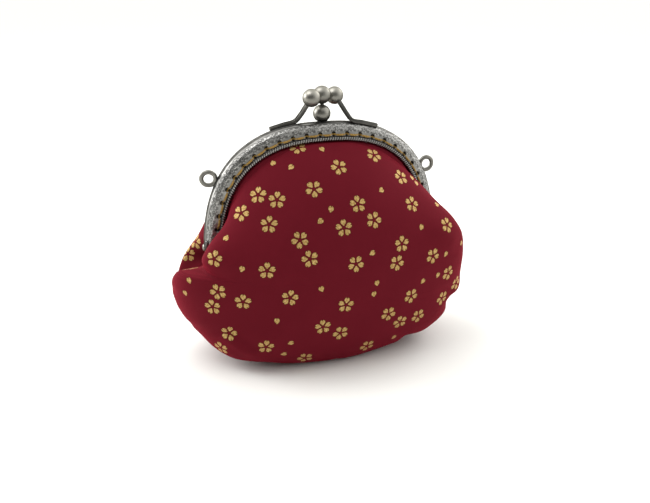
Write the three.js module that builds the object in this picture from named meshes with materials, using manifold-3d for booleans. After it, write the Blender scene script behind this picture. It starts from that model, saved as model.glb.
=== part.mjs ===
// Clasp coin purse: two printed cotton panels sewn into a hinged metal frame with a ball clasp.
// Millimetres, Z up. X runs along the frame, Y to the back, and the purse stands on Z = 0.
// The two halves of the frame meet at Y = 0, and the origin lies under the middle of the frame.
import * as THREE from 'three';
import { mergeVertices } from 'three/addons/utils/BufferGeometryUtils.js';
import Module from 'manifold-3d';

const wasm = await Module();
wasm.setup();

const SEAT_GAP = 0.3;
const MERGE_DISTANCE = 1e-4;

// The frame's outer edge is a rounded arch over its springing level, drawn as a superellipse.
const ARCH = {
  halfWidth: 55,
  rise: 51.7,
  springing: 56,
  roundness: 2.2,
  legEnd: 57.9,
  steps: 30,
  samples: 600,
};

// The channel's section. Depth runs forward from the parting plane, inset inward from the edge.
const CHANNEL_SECTION = [
  { depth: 0.2, inset: 0.0 },
  { depth: 1.7, inset: 0.0 },
  { depth: 3.4, inset: 0.7 },
  { depth: 4.5, inset: 2.2 },
  { depth: 4.9, inset: 5.6 },
  { depth: 5.6, inset: 6.3 },
  { depth: 5.6, inset: 7.1 },
  { depth: 4.9, inset: 7.6 },
  { depth: 4.1, inset: 7.3 },
  { depth: 4.0, inset: 6.1 },
  { depth: 3.8, inset: 3.0 },
  { depth: 2.8, inset: 1.6 },
  { depth: 0.95, inset: 1.2 },
  { depth: 0.95, inset: 7.1 },
  { depth: 0.2, inset: 7.1 },
];
const CHANNEL_DEPTH = Math.max(...CHANNEL_SECTION.map((p) => p.depth));

// Sewing holes, drilled from one depth to another through the front wall of the channel.
const HOLES = { count: 24, diameter: 1.5, pitch: 6.13, inset: 4.5, from: 3.4, to: 6.0, sides: 6 };

// Above the hinge each leg narrows: its inner side is cut back along a slope.
const LEG_TAPER = { topX: 45.5, topZ: 64, footX: 51.2, footZ: 56 };

// Flat ears under the legs overlap at the hinge, and a rivet goes through both of them.
const HINGE_Z = 55;
const EAR = {
  radius: 2.6,
  thickness: 1.0,
  outerFace: 54.6,
  innerFace: 53.2,
  top: 63,
  back: 0.4,
  front: 4.4,
  segments: 14,
};
const RIVET = { shank: 1.6, bore: 2.2, head: 3.2, crown: 2.1, headThickness: 0.8, sides: 8 };

// Each half carries balls of one size. Two of them stand one over the other on a post at the middle.
const BALL = { radius: 3.85, across: 12, along: 8 };
const POST = { radius: 0.9, foot: 105.5, y: 2.7, lowerBall: 110.6, upperBall: 118.7, sides: 8 };

// Each clasp arm starts as a foot on one half's top edge, bends up and leans over to the other side.
const ARM = { width: 2.6, thickness: 1.7, corner: 0.5, steps: 14 };
const LEFT_ARM = [
  { x: -24.0, y: 2.2, z: 104.2 },
  { x: -17.5, y: 2.2, z: 106.3 },
  { x: -12.6, y: 2.0, z: 107.9 },
  { x: -10.2, y: 1.0, z: 110.8 },
  { x: -8.4, y: -0.6, z: 114.4 },
  { x: -6.3, y: -2.1, z: 118.4 },
];
const RIGHT_ARM = [
  { x: 24.0, y: -2.2, z: 104.2 },
  { x: 17.5, y: -2.2, z: 106.3 },
  { x: 12.6, y: -1.8, z: 107.9 },
  { x: 10.4, y: 0.6, z: 111.0 },
  { x: 8.8, y: 3.6, z: 114.4 },
  { x: 7.1, y: 6.5, z: 117.5 },
];

// Side loops are soldered on the back half's edge. Lean tips a loop to the back, and turn twists it
// about its own stem, both in degrees from the frame's plane.
const LOOP = { ring: 3.12, wire: 0.85, around: 16, section: 6, bite: 0.35 };
const LOOPS = [
  { x: -47.9, y: 1.4, lean: 5, turn: 11 },
  { x: 48.8, y: 2.2, lean: 15, turn: 0 },
];

// Each cotton panel is drawn by clock rows about its middle, in degrees from the top of the purse.
// The edge columns give the radius of the seam, which starts at the hinge: above it the panel is sewn
// into the frame, and the frame's rim counts instead. Left and right are the widest radius on the
// front panel's two sides, backLeft and backRight on the back panel. Lip is how far that widest ring
// stands out from the seam, and square is how boxy the section is from there to the belly.
const CLOTH = {
  thickness: 1.2,
  belly: 33,
  middleHeight: 45,
  seamGap: 0.15,
  sewnTo: 72.5,
  columns: 50,
  rows: 15,
  bellyRows: 9,
};
const PANEL_COLUMNS = [
  'angle', 'edgeLeft', 'edgeRight', 'left', 'right', 'backLeft', 'backRight', 'lip', 'square',
];
const PANEL_ROWS = [
  [0, 49.0, 49.0, 54.3, 54.3, 54.3, 54.3, 6.0, 1.5],
  [25, 49.0, 49.0, 55.0, 55.0, 55.0, 55.0, 6.0, 1.5],
  [42, 49.0, 49.0, 54.3, 54.6, 54.3, 54.3, 6.5, 1.55],
  [54, 49.0, 49.0, 53.0, 55.4, 52.0, 52.0, 8.5, 1.7],
  [64, 49.0, 49.0, 53.4, 57.3, 52.8, 52.4, 12.0, 1.85],
  [73, 49.0, 49.0, 57.4, 61.2, 54.2, 54.2, 15.0, 2.0],
  [80, 49.5, 49.5, 59.0, 64.2, 55.8, 56.8, 15.0, 2.05],
  [87, 52.0, 52.5, 58.3, 65.9, 58.4, 60.6, 12.5, 2.1],
  [93, 65.0, 60.0, 68.0, 67.6, 62.5, 65.8, 9.5, 2.2],
  [100, 68.4, 66.8, 70.4, 69.4, 66.8, 69.0, 6.0, 2.3],
  [108, 68.4, 69.2, 70.0, 71.4, 67.6, 69.6, 5.0, 2.45],
  [115, 67.2, 69.0, 68.2, 70.4, 67.0, 68.4, 4.0, 2.6],
  [122, 65.8, 67.0, 66.2, 68.2, 65.4, 66.4, 3.5, 2.75],
  [130, 62.6, 63.2, 62.6, 64.0, 62.4, 63.0, 3.0, 2.9],
  [145, 54.2, 54.0, 54.2, 54.2, 54.2, 54.0, 3.0, 3.2],
  [162, 48.9, 48.9, 48.9, 48.9, 48.9, 48.9, 3.0, 3.4],
  [180, 46.5, 46.5, 46.5, 46.5, 46.5, 46.5, 3.0, 3.4],
].map((row) => Object.fromEntries(PANEL_COLUMNS.map((column, k) => [column, row[k]])));

// On the left the front panel wraps round the side: the seam lies behind the parting plane there.
// It moves back from one clock angle to the next, stays, and comes forward again.
const SEAM_SET = { back: 13, from: -76, full: -92, hold: -112, to: -130 };

// Towards the belly a row's reach, lip and squareness ease to those of one smooth oval dome.
const DOME = { halfWidth: 62, halfHeight: 49, lip: 8, square: 2.1 };

// Puckers pull the cloth in along the seam. Angle is positive to the right, spread is in degrees.
const PUCKERS = [
  { angle: 112.5, spread: 4, pull: 3.6 },
  { angle: 137, spread: 4.5, pull: 2.0 },
  { angle: -114, spread: 5, pull: 0.7 },
];

// The sewn edge lies in the slot of the channel and turns forward round the inner edge.
const SEWN_EDGE = { depth: 3.5, tongueInset: 4.6, mouthInset: 7.7, turnInset: 8.2, turnDepth: 5.0 };

const SILVER = { color: 0x8f8f88, metalness: 1.0, roughness: 0.38 };
const COTTON = { color: 0x7d1c28, metalness: 0.0, roughness: 0.85 };

// Superellipse point at an angle from the top, positive to the right.
function archPoint(angle, inset = 0) {
  const power = 2 / ARCH.roundness;
  const side = Math.sign(angle) || 1;
  const s = Math.sin(Math.abs(angle));
  const c = Math.max(Math.cos(angle), 0);
  const point = new THREE.Vector2(ARCH.halfWidth * s ** power, ARCH.springing + ARCH.rise * c ** power);
  point.addScaledVector(archNormal(point), -inset);
  return new THREE.Vector3(side * point.x, 0, point.y);
}

// Outward normal of the superellipse's right half, from the slope of its equation.
function archNormal(point) {
  const rise = Math.max(point.y - ARCH.springing, 0);
  const gradient = new THREE.Vector2(
    (point.x / ARCH.halfWidth) ** (ARCH.roundness - 1) / ARCH.halfWidth,
    (rise / ARCH.rise) ** (ARCH.roundness - 1) / ARCH.rise,
  );
  return gradient.normalize();
}

// The arch from the left leg's end over the top to the right leg's end.
class ArchCurve extends THREE.Curve {
  constructor() {
    super();
    const legRise = (ARCH.legEnd - ARCH.springing) / ARCH.rise;
    this.endAngle = Math.acos(legRise ** (ARCH.roundness / 2));
    this.arcLengthDivisions = ARCH.samples;
  }

  getPoint(t) {
    return archPoint((2 * t - 1) * this.endAngle);
  }
}

const archCurve = new ArchCurve();

// Close points along the arch set in by an inset, from left to right.
function insetLine(inset) {
  const points = [];
  for (let k = 0; k <= ARCH.samples; k += 1) {
    points.push(archPoint((2 * (k / ARCH.samples) - 1) * archCurve.endAngle, inset));
  }
  return points;
}

function toSolid(geometry) {
  const plain = geometry.clone();
  plain.deleteAttribute('normal');
  plain.deleteAttribute('uv');
  const merged = mergeVertices(plain, MERGE_DISTANCE);
  return new wasm.Manifold(new wasm.Mesh({
    numProp: 3,
    vertProperties: new Float32Array(merged.attributes.position.array),
    triVerts: new Uint32Array(merged.index.array),
  }));
}

function toGeometry(solid) {
  const mesh = solid.getMesh();
  const geometry = new THREE.BufferGeometry();
  geometry.setAttribute('position', new THREE.BufferAttribute(mesh.vertProperties, 3));
  geometry.setIndex(new THREE.BufferAttribute(mesh.triVerts, 1));
  geometry.computeVertexNormals();
  return geometry;
}

function makeMesh(name, geometry, finish) {
  const mesh = new THREE.Mesh(geometry, new THREE.MeshStandardMaterial(finish));
  mesh.name = name;
  return mesh;
}

// Plate in the plane of Y and Z: a disc on the hinge with a strip up into the leg, and its bore.
function earSolid(side, outerFace) {
  const shape = new THREE.Shape();
  shape.moveTo(-EAR.front, EAR.top);
  shape.lineTo(-EAR.front, ARCH.legEnd);
  shape.absarc(0, HINGE_Z, EAR.radius, Math.PI, 2.5 * Math.PI, false);
  shape.lineTo(-EAR.back, HINGE_Z + EAR.radius);
  shape.lineTo(-EAR.back, EAR.top);
  const plate = new THREE.ExtrudeGeometry(shape, {
    depth: EAR.thickness,
    bevelEnabled: false,
    curveSegments: EAR.segments,
  });
  // The shape's first axis becomes Y, its second Z and the thickness X.
  plate.applyMatrix4(new THREE.Matrix4().makeBasis(
    new THREE.Vector3(0, 1, 0),
    new THREE.Vector3(0, 0, 1),
    new THREE.Vector3(1, 0, 0),
  ));
  plate.translate(side > 0 ? outerFace - EAR.thickness : -outerFace, 0, 0);
  const boreRadius = RIVET.bore / 2;
  const bore = new THREE.CylinderGeometry(boreRadius, boreRadius, 2 * EAR.thickness, RIVET.sides);
  bore.rotateZ(Math.PI / 2);
  bore.translate(side * (outerFace - EAR.thickness / 2), 0, HINGE_Z);
  return toSolid(plate).subtract(toSolid(bore));
}

// Wedge that is cut from the inner side of a leg's end.
function legTaperSolid(side) {
  const corners = [
    new THREE.Vector2(side * LEG_TAPER.topX, LEG_TAPER.topZ),
    new THREE.Vector2(side * LEG_TAPER.footX, LEG_TAPER.footZ),
    new THREE.Vector2(side * LEG_TAPER.topX, LEG_TAPER.footZ),
  ];
  const wedge = new THREE.ExtrudeGeometry(new THREE.Shape(corners), {
    depth: 2 * CHANNEL_DEPTH,
    bevelEnabled: false,
  });
  wedge.rotateX(Math.PI / 2);
  return toSolid(wedge);
}

// Front half of the frame: the channel swept along the arch, its sewing holes and its two ears.
function channelHalf() {
  const section = new THREE.Shape(CHANNEL_SECTION.map((p) => new THREE.Vector2(p.depth, p.inset)));
  const channel = new THREE.ExtrudeGeometry(section, { steps: ARCH.steps, extrudePath: archCurve });
  let half = toSolid(channel);
  for (const place of holePlaces()) {
    const radius = HOLES.diameter / 2;
    const drill = new THREE.CylinderGeometry(radius, radius, HOLES.to - HOLES.from, HOLES.sides);
    drill.translate(place.x, -(HOLES.from + HOLES.to) / 2, place.z);
    half = half.subtract(toSolid(drill));
  }
  half = half.subtract(legTaperSolid(-1)).subtract(legTaperSolid(1));
  return half.add(earSolid(-1, EAR.outerFace)).add(earSolid(1, EAR.innerFace));
}

// Sewing holes at an even pitch along their line, counted out from the middle of the arch.
function holePlaces() {
  const line = insetLine(HOLES.inset);
  const lengths = [0];
  for (let k = 1; k < line.length; k += 1) {
    lengths.push(lengths[k - 1] + line[k].distanceTo(line[k - 1]));
  }
  const middle = lengths[lengths.length - 1] / 2;
  const places = [];
  for (let hole = 0; hole < HOLES.count; hole += 1) {
    const along = middle + (hole - (HOLES.count - 1) / 2) * HOLES.pitch;
    const k = lengths.findIndex((length) => length >= along);
    const share = (along - lengths[k - 1]) / (lengths[k] - lengths[k - 1]);
    places.push(line[k - 1].clone().lerp(line[k], share));
  }
  return places;
}

function ballSolid(x, y, z) {
  const ball = new THREE.SphereGeometry(BALL.radius, BALL.across, BALL.along);
  ball.translate(x, y, z);
  return toSolid(ball);
}

// Strip with clipped corners along the arm's path, and the ball on its end.
function armSolid(stations) {
  const w = ARM.width / 2;
  const h = ARM.thickness / 2;
  const c = ARM.corner;
  const section = new THREE.Shape([
    new THREE.Vector2(-w + c, -h),
    new THREE.Vector2(w - c, -h),
    new THREE.Vector2(w, -h + c),
    new THREE.Vector2(w, h - c),
    new THREE.Vector2(w - c, h),
    new THREE.Vector2(-w + c, h),
    new THREE.Vector2(-w, h - c),
    new THREE.Vector2(-w, -h + c),
  ]);
  const path = new THREE.CatmullRomCurve3(stations.map((p) => new THREE.Vector3(p.x, p.y, p.z)));
  const strip = new THREE.ExtrudeGeometry(section, { steps: ARM.steps, extrudePath: path });
  const end = stations[stations.length - 1];
  return toSolid(strip).add(ballSolid(end.x, end.y, end.z));
}

// Two balls on a thin post that stands on the top of the back half.
function postSolid() {
  const height = POST.upperBall - POST.foot;
  const post = new THREE.CylinderGeometry(POST.radius, POST.radius, height, POST.sides);
  post.rotateX(Math.PI / 2);
  post.translate(0, POST.y, POST.foot + height / 2);
  return toSolid(post).add(ballSolid(0, POST.y, POST.lowerBall)).add(ballSolid(0, POST.y, POST.upperBall));
}

// Ring that bites into the frame's edge and stands out from it.
function loopSolid(loop) {
  const ratio = Math.abs(loop.x) / ARCH.halfWidth;
  const height = ARCH.springing + ARCH.rise * (1 - ratio ** ARCH.roundness) ** (1 / ARCH.roundness);
  const normal = archNormal(new THREE.Vector2(Math.abs(loop.x), height));
  const outward = new THREE.Vector3(Math.sign(loop.x) * normal.x, 0, normal.y);
  const along = new THREE.Vector3(-outward.z, 0, outward.x);
  outward.applyAxisAngle(along, THREE.MathUtils.degToRad(loop.lean));
  along.applyAxisAngle(outward, -THREE.MathUtils.degToRad(loop.turn));
  const axis = new THREE.Vector3().crossVectors(outward, along);
  const center = new THREE.Vector3(loop.x, loop.y, height);
  center.addScaledVector(outward, LOOP.ring + LOOP.wire - LOOP.bite);
  const ring = new THREE.TorusGeometry(LOOP.ring, LOOP.wire, LOOP.section, LOOP.around);
  ring.applyMatrix4(new THREE.Matrix4().makeBasis(outward, along, axis).setPosition(center));
  return toSolid(ring);
}

// Rivet turned about the hinge's axis: flat inner head, shank through both ears, crowned outer head.
function rivetGeometry(side) {
  const outerHead = EAR.outerFace + SEAT_GAP + RIVET.headThickness;
  const innerHead = EAR.innerFace - EAR.thickness - SEAT_GAP - RIVET.headThickness;
  const profile = [
    new THREE.Vector2(0, innerHead),
    new THREE.Vector2(RIVET.head / 2, innerHead),
    new THREE.Vector2(RIVET.head / 2, innerHead + RIVET.headThickness),
    new THREE.Vector2(RIVET.shank / 2, innerHead + RIVET.headThickness),
    new THREE.Vector2(RIVET.shank / 2, outerHead - RIVET.headThickness),
    new THREE.Vector2(RIVET.head / 2, outerHead - RIVET.headThickness),
    new THREE.Vector2(RIVET.crown / 2, outerHead),
    new THREE.Vector2(0, outerHead),
  ];
  const rivet = new THREE.LatheGeometry(profile, RIVET.sides);
  rivet.rotateZ(side > 0 ? -Math.PI / 2 : Math.PI / 2);
  rivet.translate(0, 0, HINGE_Z);
  return toGeometry(toSolid(rivet));
}

// Cubic through the rows of the panel table, with slopes taken across each row's neighbours.
function panelValue(column, angle) {
  const rows = PANEL_ROWS;
  const at = Math.abs(angle);
  let k = 0;
  while (k < rows.length - 2 && rows[k + 1].angle <= at) {
    k += 1;
  }
  const slope = (i) => {
    const a = rows[Math.max(i - 1, 0)];
    const b = rows[Math.min(i + 1, rows.length - 1)];
    return (b[column] - a[column]) / (b.angle - a.angle);
  };
  const span = rows[k + 1].angle - rows[k].angle;
  const u = (at - rows[k].angle) / span;
  return (2 * u ** 3 - 3 * u ** 2 + 1) * rows[k][column]
    + (u ** 3 - 2 * u ** 2 + u) * span * slope(k)
    + (3 * u ** 2 - 2 * u ** 3) * rows[k + 1][column]
    + (u ** 3 - u ** 2) * span * slope(k + 1);
}

// Radius about the panel's middle at which a clock angle meets the arch set in by an inset.
function rimRadius(angle, inset) {
  const at = Math.abs(angle);
  let last = null;
  for (const p of insetLine(inset).slice(ARCH.samples / 2)) {
    const clock = THREE.MathUtils.radToDeg(Math.atan2(p.x, p.z - CLOTH.middleHeight));
    const radius = Math.hypot(p.x, p.z - CLOTH.middleHeight);
    if (last && clock >= at) {
      return THREE.MathUtils.mapLinear(at, last.clock, clock, last.radius, radius);
    }
    last = { clock, radius };
  }
  return last.radius;
}

function puckerPull(angle) {
  let pull = 0;
  for (const pucker of PUCKERS) {
    pull += pucker.pull * Math.exp(-(((angle - pucker.angle) / pucker.spread) ** 2));
  }
  return pull;
}

function clockAngle(column) {
  return -180 + (360 * column) / CLOTH.columns;
}

function isSewn(angle) {
  return Math.abs(angle) < CLOTH.sewnTo;
}

// How far the seam lies behind the parting plane at a clock angle.
function seamSet(angle) {
  const leave = THREE.MathUtils.smoothstep(-angle, -SEAM_SET.from, -SEAM_SET.full);
  const come = THREE.MathUtils.smoothstep(-angle, -SEAM_SET.hold, -SEAM_SET.to);
  return SEAM_SET.back * leave * (1 - come);
}

// One clock row of a panel as points of radius and depth, from the sewn or seamed edge to the middle.
function panelProfile(angle, side) {
  const pull = puckerPull(angle);
  const hand = angle < 0 ? 'Left' : 'Right';
  const reach = panelValue(side < 0 ? hand.toLowerCase() : `back${hand}`, angle) - pull;
  const lip = panelValue('lip', angle);
  const sewn = isSewn(angle);
  const edge = sewn ? rimRadius(angle, SEWN_EDGE.turnInset) : panelValue(`edge${hand}`, angle) - pull;
  const start = sewn ? SEWN_EDGE.turnDepth : CLOTH.seamGap;
  const tongueInsets = sewn ? [SEWN_EDGE.tongueInset, SEWN_EDGE.mouthInset] : [];
  const points = tongueInsets.map((inset) => new THREE.Vector2(rimRadius(angle, inset), SEWN_EDGE.depth));
  const flareRows = CLOTH.rows - CLOTH.bellyRows - points.length;
  for (let k = 0; k < flareRows; k += 1) {
    const u = k / flareRows;
    const swing = THREE.MathUtils.smoothstep(u, 0, 1);
    points.push(new THREE.Vector2(edge + (reach - edge) * swing, start + (lip - start) * u));
  }
  return points.concat(bellyLine(angle, reach, lip));
}

// Boxy quarter curve from a row's widest point to the middle of the belly.
function bellyLine(angle, reach, lip) {
  const clock = THREE.MathUtils.degToRad(angle);
  const oval = 1 / Math.hypot(Math.sin(clock) / DOME.halfWidth, Math.cos(clock) / DOME.halfHeight);
  const square = panelValue('square', angle);
  const points = [];
  for (let k = 0; k < CLOTH.bellyRows; k += 1) {
    const turn = (1 - k / (CLOTH.bellyRows - 1)) * Math.PI / 2;
    const own = Math.sin(turn) ** 2;
    const power = 2 / THREE.MathUtils.lerp(DOME.square, square, own);
    const ring = THREE.MathUtils.lerp(DOME.lip, lip, own);
    points.push(new THREE.Vector2(
      THREE.MathUtils.lerp(oval, reach, own) * Math.sin(turn) ** power,
      ring + (CLOTH.belly - ring) * Math.cos(turn) ** power,
    ));
  }
  return points;
}

// Outer face of a panel as columns of points, one column for each clock angle. Side -1 is the front.
// Where the seam is set back, the depths between it and the belly are stretched evenly.
function panelGrid(side) {
  const grid = [];
  for (let c = 0; c < CLOTH.columns; c += 1) {
    const angle = clockAngle(c);
    const clock = THREE.MathUtils.degToRad(angle);
    const back = seamSet(angle);
    grid.push(panelProfile(angle, side).map((p) => new THREE.Vector3(
      p.x * Math.sin(clock),
      side * p.y + back * (1 - p.y / CLOTH.belly),
      Math.max(CLOTH.middleHeight + p.x * Math.cos(clock), 0),
    )));
  }
  return grid;
}

// Direction from the outer face into the wall at one point of a panel's grid.
function inwardAt(grid, side, c, r) {
  const column = grid[c];
  const last = column.length - 1;
  if (r === last) {
    return new THREE.Vector3(0, -side, 0);
  }
  const ahead = grid[(c + 1) % grid.length];
  const behind = grid[(c + grid.length - 1) % grid.length];
  const around = new THREE.Vector3().subVectors(ahead[r], behind[r]);
  const down = new THREE.Vector3().subVectors(column[r + 1], column[Math.max(r - 1, 0)]);
  const inward = around.cross(down).multiplyScalar(-side);
  if (r === 0 && !isSewn(clockAngle(c))) {
    inward.y = 0;
  }
  return inward.normalize();
}

// Closed wall of even thickness inside a grid of columns that share their last point.
function wallGeometry(side) {
  const outer = panelGrid(side);
  const inner = outer.map((column, c) => column.map(
    (point, r) => point.clone().addScaledVector(inwardAt(outer, side, c, r), CLOTH.thickness),
  ));
  const columns = CLOTH.columns;
  const rows = CLOTH.rows;
  const positions = [];
  const indices = [];
  const layer = (grid) => {
    const first = positions.length / 3;
    grid.forEach((column) => column.slice(0, -1).forEach((p) => positions.push(p.x, p.y, p.z)));
    positions.push(...grid[0][rows - 1].toArray());
    const middle = first + columns * (rows - 1);
    return (c, r) => (r === rows - 1 ? middle : first + (c % columns) * (rows - 1) + r);
  };
  const outerAt = layer(outer);
  const innerAt = layer(inner);
  const triangle = (a, b, c) => indices.push(...(side > 0 ? [a, b, c] : [a, c, b]));
  for (let c = 0; c < columns; c += 1) {
    for (let r = 0; r < rows - 1; r += 1) {
      triangle(outerAt(c, r), outerAt(c + 1, r), outerAt(c + 1, r + 1));
      triangle(innerAt(c + 1, r), innerAt(c, r), innerAt(c + 1, r + 1));
      if (r < rows - 2) {
        triangle(outerAt(c, r), outerAt(c + 1, r + 1), outerAt(c, r + 1));
        triangle(innerAt(c, r), innerAt(c, r + 1), innerAt(c + 1, r + 1));
      }
    }
    triangle(outerAt(c + 1, 0), outerAt(c, 0), innerAt(c, 0));
    triangle(outerAt(c + 1, 0), innerAt(c, 0), innerAt(c + 1, 0));
  }
  const geometry = new THREE.BufferGeometry();
  geometry.setAttribute('position', new THREE.Float32BufferAttribute(positions, 3));
  geometry.setIndex(indices);
  geometry.computeVertexNormals();
  return geometry;
}

const half = channelHalf();
const frontFrame = half.add(armSolid(RIGHT_ARM));
let backFrame = half.rotate([0, 0, 180]).add(armSolid(LEFT_ARM)).add(postSolid());
LOOPS.forEach((loop) => {
  backFrame = backFrame.add(loopSolid(loop));
});

const purse = new THREE.Group();
purse.name = 'clasp_coin_purse';
purse.add(makeMesh('front_frame', toGeometry(frontFrame), SILVER));
purse.add(makeMesh('back_frame', toGeometry(backFrame), SILVER));
purse.add(makeMesh('left_hinge_rivet', rivetGeometry(-1), SILVER));
purse.add(makeMesh('right_hinge_rivet', rivetGeometry(1), SILVER));
purse.add(makeMesh('front_panel', wallGeometry(-1), COTTON));
purse.add(makeMesh('back_panel', wallGeometry(1), COTTON));

export default purse;
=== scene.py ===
"""Looks of the clasp coin purse: a printed cotton pouch sewn into a pressed silver frame.

Lengths in the tables are millimetres, and a mesh gets them in metres. X runs along the frame,
Y to the back and Z up. The purse stands on Z = 0, and its two halves meet at Y = 0.
"""

import bmesh
import bpy
import numpy as np
from mathutils import Matrix, Vector


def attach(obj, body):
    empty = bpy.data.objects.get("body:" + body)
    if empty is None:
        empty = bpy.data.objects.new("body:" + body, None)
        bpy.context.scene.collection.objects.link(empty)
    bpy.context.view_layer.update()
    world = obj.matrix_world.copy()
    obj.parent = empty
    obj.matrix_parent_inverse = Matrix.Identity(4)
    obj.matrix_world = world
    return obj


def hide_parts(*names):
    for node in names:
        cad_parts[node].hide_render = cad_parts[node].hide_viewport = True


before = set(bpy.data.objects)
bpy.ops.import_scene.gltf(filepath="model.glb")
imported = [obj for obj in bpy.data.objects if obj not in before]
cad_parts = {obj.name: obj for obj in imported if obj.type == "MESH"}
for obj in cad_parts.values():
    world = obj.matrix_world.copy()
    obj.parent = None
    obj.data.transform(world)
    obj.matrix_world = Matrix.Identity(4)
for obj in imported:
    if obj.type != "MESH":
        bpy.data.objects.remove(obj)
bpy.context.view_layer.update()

MM = 0.001
FULL_TURN = 2 * np.pi
BACK = np.array([0, 1, 0])
UP = np.array([0, 0, 1])

# The photograph's frame in pixels, and the camera that fits it.
PHOTO_WIDTH = 650
PHOTO_HEIGHT = 503
FOCAL_PX = 720.0
SENSOR_WIDTH = 36.0
EYE = np.array([-99.9, -295.1, 173.5])
CAMERA_AZIMUTH = np.radians(18.93)
CAMERA_DROP = np.radians(22.18)
CAMERA_ROLL = np.radians(0.656)

# The frame's outer edge: a superellipse over the springing level.
ARCH_HALF_WIDTH = 54.9
ARCH_RISE = 58.7
ARCH_SPRINGING = 48.85
ARCH_ROUNDNESS = 2.52
LEG_END = 57.9
LEG_TAPER_TOP = (45.5, 64.0)
LEG_TAPER_FOOT = (51.2, 56.0)
LEG_TAPER_EASE = 8.0
LEG_LEAST_SHARE = 0.3
LEG_LEAST_LEAN = 0.2
STATIONS = 1000
EDGE_STEPS = 4001

# The channel's section as (depth, inset): its face, from the parting plane over the outer lip
# to the rope bead, and then its inside, which carries the slot for the cloth.
FACE_LINE = [(0.2, 0.0), (1.7, 0.0), (3.4, 0.7), (4.5, 2.2), (4.9, 5.5), (5.5, 5.9), (5.75, 6.6),
             (5.5, 7.3), (4.9, 7.6)]
SLOT_LINE = [(4.9, 7.6), (4.1, 7.3), (4.0, 6.1), (3.8, 3.0), (2.8, 1.6), (0.95, 1.2), (0.95, 7.1),
             (0.2, 7.1), (0.2, 0.0)]
CHANNEL_WIDTH = 7.6
FACE_POINTS = 78
SLOT_POINTS = 18

# Sewing holes, and what is pressed into the face between the outer lip and the rope bead. Run is the
# length over the face from the parting plane. A pair gives where a form starts and is full.
HOLE_COUNT = 24
HOLE_PITCH = 6.13
HOLE_INSET = 4.5
HOLE_EDGE = (0.84, 1.06)
HOLE_DEPTH = 1.2
PLAIN_RUN = 1.5
ORNAMENT_START = (2.5, 2.8)
ORNAMENT_MIDDLE = 4.6
ORNAMENT_END = (6.1, 6.6)
STEM_PERIOD = HOLE_PITCH
STEM_SWING = 0.85
STEM_HALF = 0.26
SPIRAL_PITCH = 0.75
SPIRAL_SHIFT = 0.3
SPIRAL_SHARE = 0.95
SPIRAL_END = (0.9, 1.2)
LEAF_COUNT = 7
LEAF_PHASE = 0.6
LEAF_SHARE = 0.85
LEAF_START = (1.0, 1.3)
LEAF_END = (1.7, 2.3)
GROUND_LEVEL = 0.4
RELIEF_HEIGHT = 0.13
GRAIN_PITCH = (0.7, 0.62)
GRAIN_WANDER = ((0.35, 2.3), (0.3, 1.7))
GRAIN_HEIGHT = 0.09
GROOVE_DEPTH = 0.12
LIP_GROOVE_HALF = 0.2
LIP_GROOVE_SHARE = 0.4
BEAD_GROOVE_INSET = 5.65
BEAD_GROOVE_HALF = 0.3
BEAD_INSET = 6.65
BEAD_EDGE = (1.0, 0.55)
RIB_PITCH = 1.12
RIB_SLANT = 0.3
RIB_HEIGHT = 0.15

# How far the blackening is rubbed off, from 0 to 1, and how much more black is left in low parts. A
# ball and the post have the share at the middle of a ball and what its top has more; that height term is
# painted light and shade, so the top is painted lighter and the underside darker by it.
FACE_WORN = 0.62
FIGURE_WORN = 0.32
GRAIN_WORN = 0.2
GROUND_BLACK = 0.15
GROOVE_BLACK = 0.5
RIB_WORN = 0.28
BEAD_BLACK = 0.12
LIP_WORN = 0.55
SLOT_WORN = 0.1
EAR_WORN = 0.5
RIVET_WORN = 0.6
ARM_WORN = 0.16
BALL_WEAR_AND_SHADE = (0.5, 0.26)
POST_WEAR_AND_SHADE = (0.44, 0.26)
LOOP_WORN = 0.42
SOLDER_WORN = 0.1

# Sewing thread: its radius, its inset between the holes and at a hole, and its depth at both.
THREAD_RADIUS = 0.42
THREAD_INSET = 5.0
THREAD_HOLE_INSET = 4.6
THREAD_DEPTH = 5.05
THREAD_SUNK = 2.7
PLY_PITCH = 1.1
PLY_SWELL = 0.2
STITCH_STEPS = 34
STITCH_SIDES = 12

# Hinge: flat ears under the legs, one inside the other, and a rivet through both. Its inner head ends
# in a tiny flat tip, and its dome in a tiny flat of a given half angle.
HINGE_Z = 55.0
EAR_RADIUS = 2.6
EAR_THICKNESS = 1.0
EAR_OUTER_FACE = 54.6
EAR_INNER_FACE = 53.2
EAR_TOP = 59.2
EAR_BACK = 0.4
EAR_FRONT = 4.4
EAR_STEPS = 30
RIVET_HEAD = 1.6
RIVET_SHANK = 0.8
RIVET_HEAD_DEPTH = 0.8
RIVET_SIDES = 24
RIVET_TIP = 0.05
DOME_STEPS = 8
DOME_FLAT = 0.05
SEAT_GAP = 0.3

# Ball clasp. A ball and a pad of solder have tiny flats at their poles, of a given half angle. Skin
# is how many radii from its middle a point still belongs to a ball.
BALL_RADIUS = 3.85
BALL_ROWS = 40
BALL_SIDES = 56
BALL_SKIN = 1.01
POLE_FLAT = 0.03
POST_Y = 2.7
POST_FOOT = 105.5
POST_RADIUS = 0.9
POST_SIDES = 28
LOWER_BALL_Z = 110.6
UPPER_BALL_Z = 118.7
POST_PROFILE = [(1.7, POST_FOOT), (1.2, POST_FOOT + 1.6), (POST_RADIUS, POST_FOOT + 2.4),
                (POST_RADIUS, UPPER_BALL_Z)]
ARM_WIDTH = 2.6
ARM_THICKNESS = 1.7
ARM_CORNER = 0.5
ARM_STEPS = 70
LEFT_ARM = [(-23.6, 2.2, 105.1), (-17.5, 2.2, 106.7), (-12.6, 2.0, 107.9), (-10.2, 1.0, 110.8),
            (-8.4, -0.6, 114.4), (-6.3, -2.1, 118.4)]
RIGHT_ARM = [(24.0, -2.2, 105.0), (17.5, -2.2, 106.7), (12.6, -1.8, 107.9), (10.4, 0.6, 111.0),
             (8.8, 3.6, 114.4), (7.1, 6.5, 117.5)]

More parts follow.
